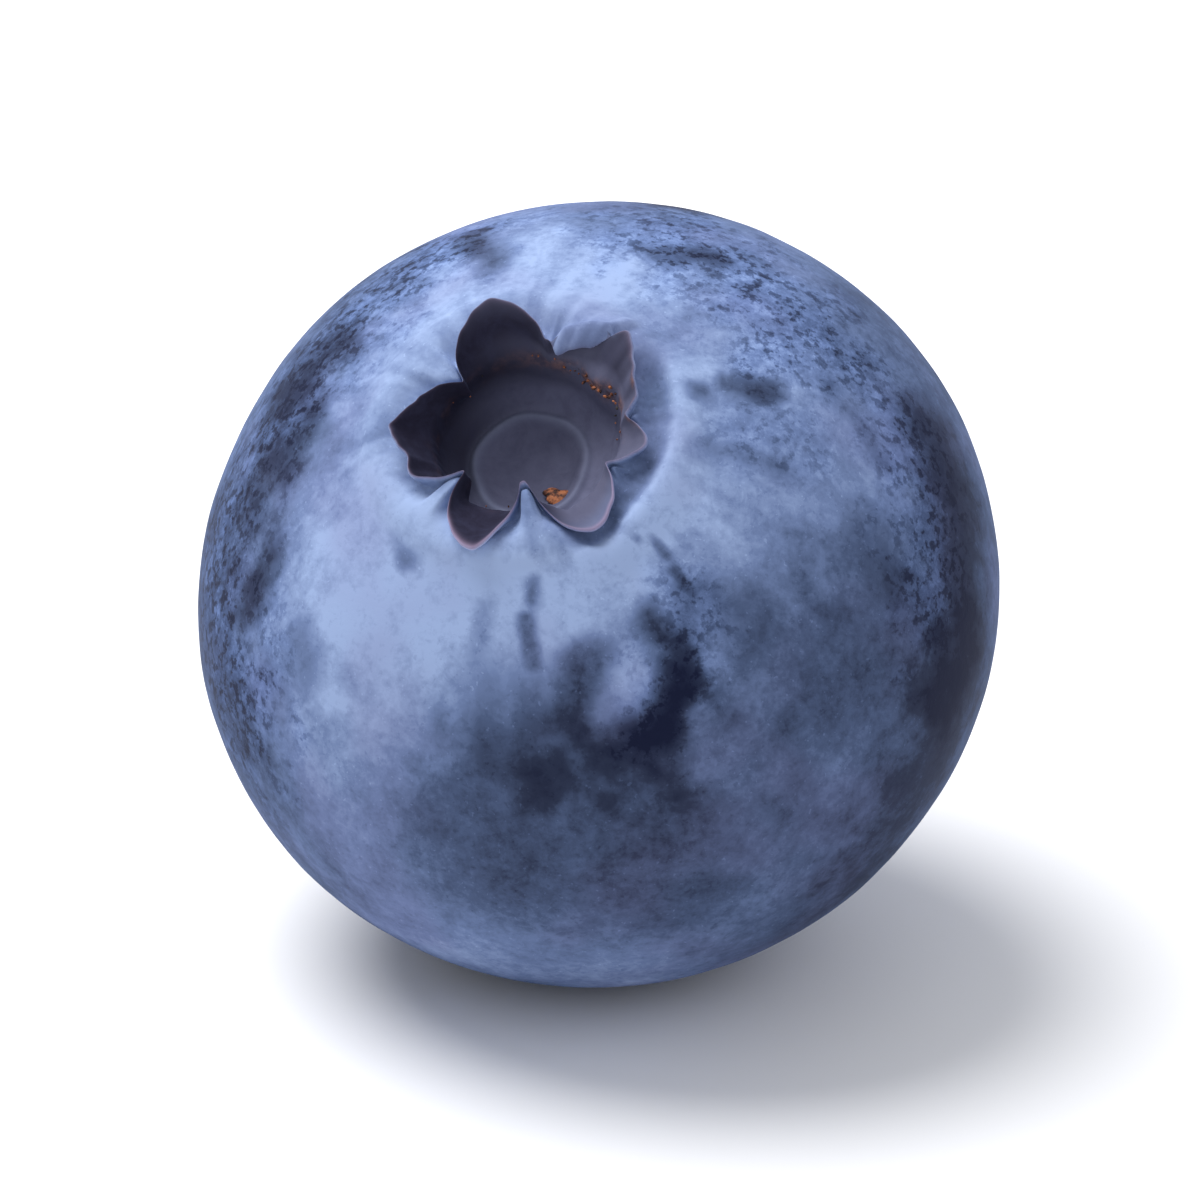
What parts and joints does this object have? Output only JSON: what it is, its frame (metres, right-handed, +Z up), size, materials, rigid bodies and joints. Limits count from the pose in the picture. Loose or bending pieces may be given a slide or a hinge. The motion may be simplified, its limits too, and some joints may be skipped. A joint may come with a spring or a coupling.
{
  "type": "blueberry",
  "caption": "Single ripe blueberry, a slightly flattened round berry with a frilled star-shaped crown round a shallow cup and a dimpled stem scar.",
  "frame": {"origin": "middle of the small flat the berry rests on, at the level of the ground", "axes": "+Z straight up, -Y towards the viewer; the crown's axis leans 36.5 degrees from +Z, towards -Y and a little towards -X"},
  "size_m": [0.0178, 0.0175, 0.0167],
  "materials": {
    "skin": null
  },
  "bodies": {
    "root": {"berry": "skin"}
  },
  "joints": []
}
